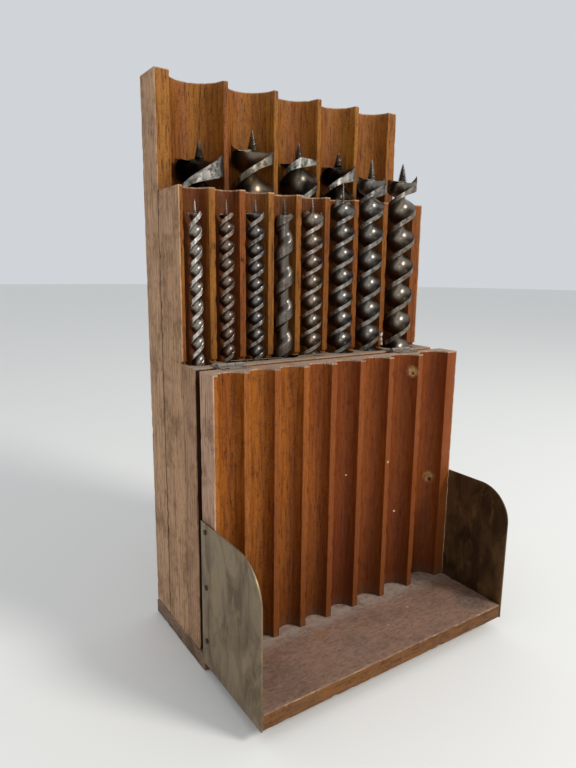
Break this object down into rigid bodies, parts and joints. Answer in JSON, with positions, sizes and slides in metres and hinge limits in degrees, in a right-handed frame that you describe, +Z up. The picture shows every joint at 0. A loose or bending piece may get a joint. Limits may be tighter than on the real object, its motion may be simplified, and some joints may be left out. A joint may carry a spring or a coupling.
{
  "type": "auger bit case",
  "caption": "Upright hinged hardwood case with coved bores, open, holding auger bits in two rows by size.",
  "frame": {"origin": "centre of the base board's underside", "axes": "+Z up along the case's height, +Y towards its back, +X to its right when seen from the lid's side"},
  "size_m": [0.1628, 0.1231, 0.2998],
  "materials": {
    "varnished_wood": "old varnish, worn",
    "plate_bronze": "dark patina",
    "hinge_iron": "dull",
    "fastener_steel": "dull, rusted",
    "bit_steel": "worn, tarnished"
  },
  "bodies": {
    "case": {"base_board": "varnished_wood", "back_block": "varnished_wood", "middle_block": "varnished_wood", "lower_front_board": "varnished_wood", "base_screws": "fastener_steel", "hinge_leaf_case_left": "hinge_iron", "hinge_leaf_case_right": "hinge_iron", "hinge_pin_left": "hinge_iron", "hinge_pin_right": "hinge_iron", "hinge_screws_case": "fastener_steel"},
    "lid": {"lid_board": "varnished_wood", "lid_top_board": "varnished_wood", "lid_top_nails": "fastener_steel", "side_plate_left": "plate_bronze", "side_plate_right": "plate_bronze", "plate_nails_left": "fastener_steel", "plate_nails_right": "fastener_steel", "hinge_leaf_lid_left": "hinge_iron", "hinge_leaf_lid_right": "hinge_iron", "hinge_screws_lid": "fastener_steel"},
    "bit_4": {"auger_bit_4": "bit_steel"},
    "bit_5": {"auger_bit_5": "bit_steel"},
    "bit_6": {"auger_bit_6": "bit_steel"},
    "bit_7": {"auger_bit_7": "bit_steel"},
    "bit_8": {"auger_bit_8": "bit_steel"},
    "bit_9": {"auger_bit_9": "bit_steel"},
    "bit_10": {"auger_bit_10": "bit_steel"},
    "bit_11": {"auger_bit_11": "bit_steel"},
    "bit_12": {"auger_bit_12": "bit_steel"},
    "bit_13": {"auger_bit_13": "bit_steel"},
    "bit_14": {"auger_bit_14": "bit_steel"},
    "bit_15": {"auger_bit_15": "bit_steel"},
    "bit_16": {"auger_bit_16": "bit_steel"}
  },
  "joints": [
    {"name": "lid_hinge", "type": "hinge", "parent": "case", "child": "lid", "pos_m": [0, -0.02955, 0.1582], "axis": [1, 0, 0], "range_deg": [-180, 0]},
    {"name": "lift_bit_4", "type": "slide", "parent": "case", "child": "bit_4", "axis": [0, 0, 1], "range_m": [0, 0.3]},
    {"name": "lift_bit_5", "type": "slide", "parent": "case", "child": "bit_5", "axis": [0, 0, 1], "range_m": [0, 0.3]},
    {"name": "lift_bit_6", "type": "slide", "parent": "case", "child": "bit_6", "axis": [0, 0, 1], "range_m": [0, 0.3]},
    {"name": "lift_bit_7", "type": "slide", "parent": "case", "child": "bit_7", "axis": [0, 0, 1], "range_m": [0, 0.3]},
    {"name": "lift_bit_8", "type": "slide", "parent": "case", "child": "bit_8", "axis": [0, 0, 1], "range_m": [0, 0.3]},
    {"name": "lift_bit_9", "type": "slide", "parent": "case", "child": "bit_9", "axis": [0, 0, 1], "range_m": [0, 0.3]},
    {"name": "lift_bit_10", "type": "slide", "parent": "case", "child": "bit_10", "axis": [0, 0, 1], "range_m": [0, 0.3]},
    {"name": "lift_bit_11", "type": "slide", "parent": "case", "child": "bit_11", "axis": [0, 0, 1], "range_m": [0, 0.3]},
    {"name": "lift_bit_12", "type": "slide", "parent": "case", "child": "bit_12", "axis": [0, 0, 1], "range_m": [0, 0.3]},
    {"name": "lift_bit_13", "type": "slide", "parent": "case", "child": "bit_13", "axis": [0, 0, 1], "range_m": [0, 0.3]},
    {"name": "lift_bit_14", "type": "slide", "parent": "case", "child": "bit_14", "axis": [0, 0, 1], "range_m": [0, 0.3]},
    {"name": "lift_bit_15", "type": "slide", "parent": "case", "child": "bit_15", "axis": [0, 0, 1], "range_m": [0, 0.3]},
    {"name": "lift_bit_16", "type": "slide", "parent": "case", "child": "bit_16", "axis": [0, 0, 1], "range_m": [0, 0.3]}
  ]
}
